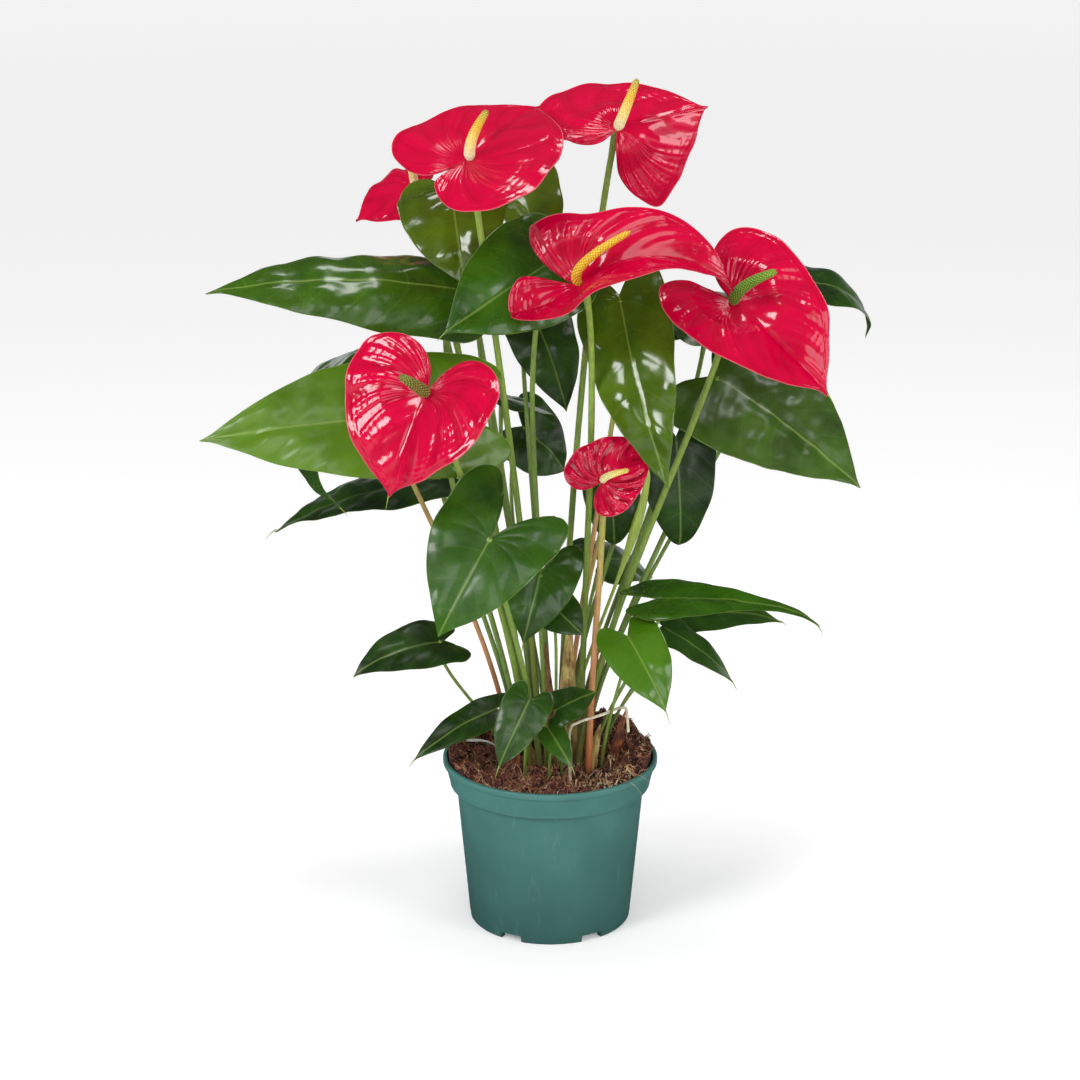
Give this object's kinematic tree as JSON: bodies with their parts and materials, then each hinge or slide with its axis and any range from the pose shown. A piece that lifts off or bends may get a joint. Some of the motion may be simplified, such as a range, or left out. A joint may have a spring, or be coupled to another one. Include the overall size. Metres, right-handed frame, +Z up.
{
  "type": "potted anthurium",
  "caption": "Flowering anthurium in a nursery pot: heart-shaped leaves and waxy red spathes with spadices on long stems, standing in soil.",
  "frame": {"origin": "middle of the pot's underside, on the surface that the pot stands on", "axes": "+Z up along the pot's axis; -Y towards the side that is seen from the front; +X to the viewer's right"},
  "size_m": [0.5175, 0.3332, 0.6729],
  "materials": {
    "leaf": "gloss",
    "young_leaf": "satin",
    "flower_stem": "satin",
    "spathe": "gloss",
    "spadix": "satin",
    "dry_bract": "matte",
    "dry_stalk": "matte",
    "soil": "matte",
    "pot": "satin"
  },
  "bodies": {
    "root": {"leaf_left_high": "leaf", "leaf_left_wide": "leaf", "leaf_left_curled": "leaf", "leaf_left_low": "leaf", "leaf_top_hanging": "leaf", "leaf_top_folded": "leaf", "leaf_middle_pointed": "leaf", "leaf_back_middle": "leaf", "leaf_back_dark": "leaf", "leaf_front_long": "leaf", "leaf_back_right": "leaf", "leaf_right_hooked": "leaf", "leaf_right_wide": "leaf", "leaf_right_under": "leaf", "leaf_right_round": "leaf", "leaf_middle_round": "leaf", "leaf_front_arrow": "leaf", "leaf_front_second": "leaf", "leaf_low_left": "leaf", "leaf_low_right_long": "leaf", "leaf_low_right_slim": "leaf", "leaf_low_right_small": "leaf", "leaf_low_right_bright": "leaf", "leaf_soil_left": "leaf", "leaf_soil_front": "leaf", "leaf_soil_round": "leaf", "leaf_soil_tiny": "leaf", "leaf_back_small": "leaf", "leaf_back_pale": "leaf", "leaf_back_low": "leaf", "leaf_front_tucked": "leaf", "leaf_young_rolled": "young_leaf", "bract_left": "dry_bract", "bract_right": "dry_bract", "bloom_a_spathe": "spathe", "bloom_a_stem": "flower_stem", "bloom_a_spadix": "spadix", "bloom_b_spathe": "spathe", "bloom_b_stem": "flower_stem", "bloom_b_spadix": "spadix", "bloom_c_spathe": "spathe", "bloom_c_stem": "flower_stem", "bloom_c_spadix": "spadix", "bloom_d_spathe": "spathe", "bloom_d_stem": "flower_stem", "bloom_d_spadix": "spadix", "bloom_e_spathe": "spathe", "bloom_e_stem": "flower_stem", "bloom_e_spadix": "spadix", "bloom_f_spathe": "spathe", "bloom_f_stem": "flower_stem", "bloom_f_spadix": "spadix", "bloom_g_spathe": "spathe", "bloom_g_stem": "flower_stem", "bloom_g_spadix": "spadix", "bud_stem": "flower_stem", "bud": "spathe", "dry_stalk": "dry_stalk", "pot": "pot", "soil": "soil"}
  },
  "joints": []
}
